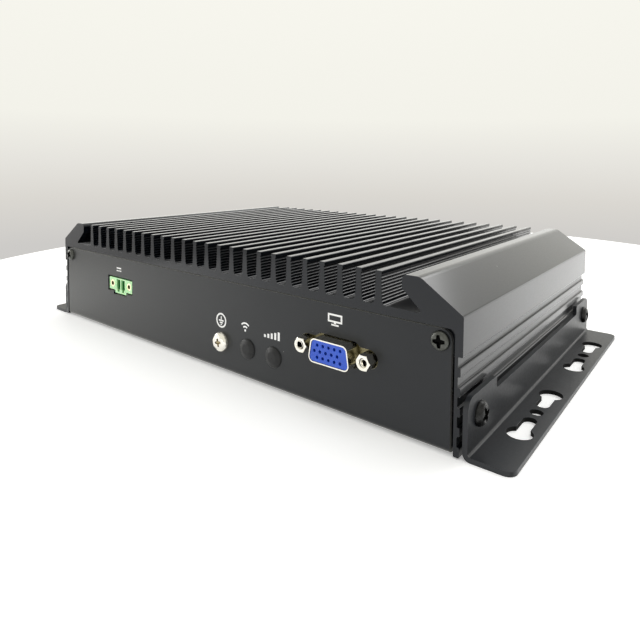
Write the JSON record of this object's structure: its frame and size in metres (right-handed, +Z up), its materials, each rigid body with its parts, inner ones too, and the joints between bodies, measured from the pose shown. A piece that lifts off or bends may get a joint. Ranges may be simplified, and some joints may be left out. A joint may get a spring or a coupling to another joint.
{
  "type": "fanless industrial computer",
  "caption": "Fanless box computer: black finned aluminium extrusion over a folded tray, keyhole flanges at both sides, green power header and blue D connector in front.",
  "frame": {"origin": "middle of the standing plane, the underside of both mounting flanges", "axes": "+Z up, -Y out of the front connector panel, +X to the right as seen from the front, across the fins"},
  "size_m": [0.2518, 0.1516, 0.0491],
  "materials": {
    "anodised_black": "bead-blasted black anodised extrusion, satin",
    "painted_grey": "fine-texture dark grey powder coat",
    "bracket_grey": "fine-texture dark grey powder coat",
    "dark_screw": "dark zinc-nickel plated steel",
    "black_screw": "black oxide steel",
    "plated_steel": "zinc plated steel",
    "nickel": "bright nickel plate",
    "black_plastic": "black moulded plastic, fine matt",
    "blue_plastic": "blue moulded insulator",
    "green_plastic": "pale green moulded housing",
    "brass": "turned brass",
    "tin": "tin plated copper alloy",
    "circuit_board": "glass-epoxy laminate under green solder mask",
    "chip": "black moulded package",
    "raw_aluminium": "milled aluminium",
    "thermal_pad": "soft silicone gap pad",
    "ferrite": "pressed ferrite",
    "can": "drawn aluminium can",
    "steel_cell": "polished stainless cell case",
    "drive_case": "drive case, dark lacquer",
    "clear_plastic": "translucent light pipe",
    "button_metal": "turned stainless plunger",
    "white_ink": "screen-printed white ink of the pictograms"
  },
  "bodies": {
    "case": {"heatsink_body": "anodised_black", "chassis_tray": "painted_grey", "mounting_bracket_right": "bracket_grey", "mounting_bracket_left": "bracket_grey", "panel_screws": "dark_screw", "bracket_screws": "black_screw", "bracket_nuts": "plated_steel", "ground_screw": "nickel", "ground_nut": "plated_steel", "antenna_plug_1": "black_plastic", "antenna_plug_2": "black_plastic", "vga_shell": "nickel", "vga_insert": "blue_plastic", "vga_body": "black_plastic", "vga_jackposts": "nickel", "dc_header": "green_plastic", "dc_header_nuts": "brass", "dc_header_pins": "tin", "main_board": "circuit_board", "board_standoffs": "brass", "board_screws": "plated_steel", "processor": "chip", "thermal_pad_lower": "thermal_pad", "spreader_block": "raw_aluminium", "thermal_pad_upper": "thermal_pad", "memory_socket": "black_plastic", "memory_module": "circuit_board", "wireless_socket": "black_plastic", "wireless_card": "circuit_board", "cell_holder": "black_plastic", "coin_cell": "steel_cell", "power_inductors": "ferrite", "bulk_capacitors": "can", "storage_drive": "drive_case", "drive_screws": "black_screw", "com_shell": "nickel", "com_insert": "black_plastic", "com_pins": "tin", "com_jackposts": "nickel", "com_body": "black_plastic", "hdmi_shell": "nickel", "hdmi_core": "black_plastic", "usb_shell_1": "nickel", "usb_core_1": "blue_plastic", "usb_shell_2": "nickel", "usb_core_2": "blue_plastic", "lan_shell_1": "nickel", "lan_core_1": "black_plastic", "lan_shell_2": "nickel", "lan_core_2": "black_plastic", "power_button_housing": "button_metal", "power_button_nut": "plated_steel", "status_light_pipes": "clear_plastic"},
    "button": {"power_button": "button_metal"}
  },
  "joints": [
    {"name": "power_button_press", "type": "slide", "parent": "case", "child": "button", "axis": [0, -1, 0], "range_m": [0, 0.0012], "stiffness_N_per_m": 800, "springref_m": -0.001}
  ]
}
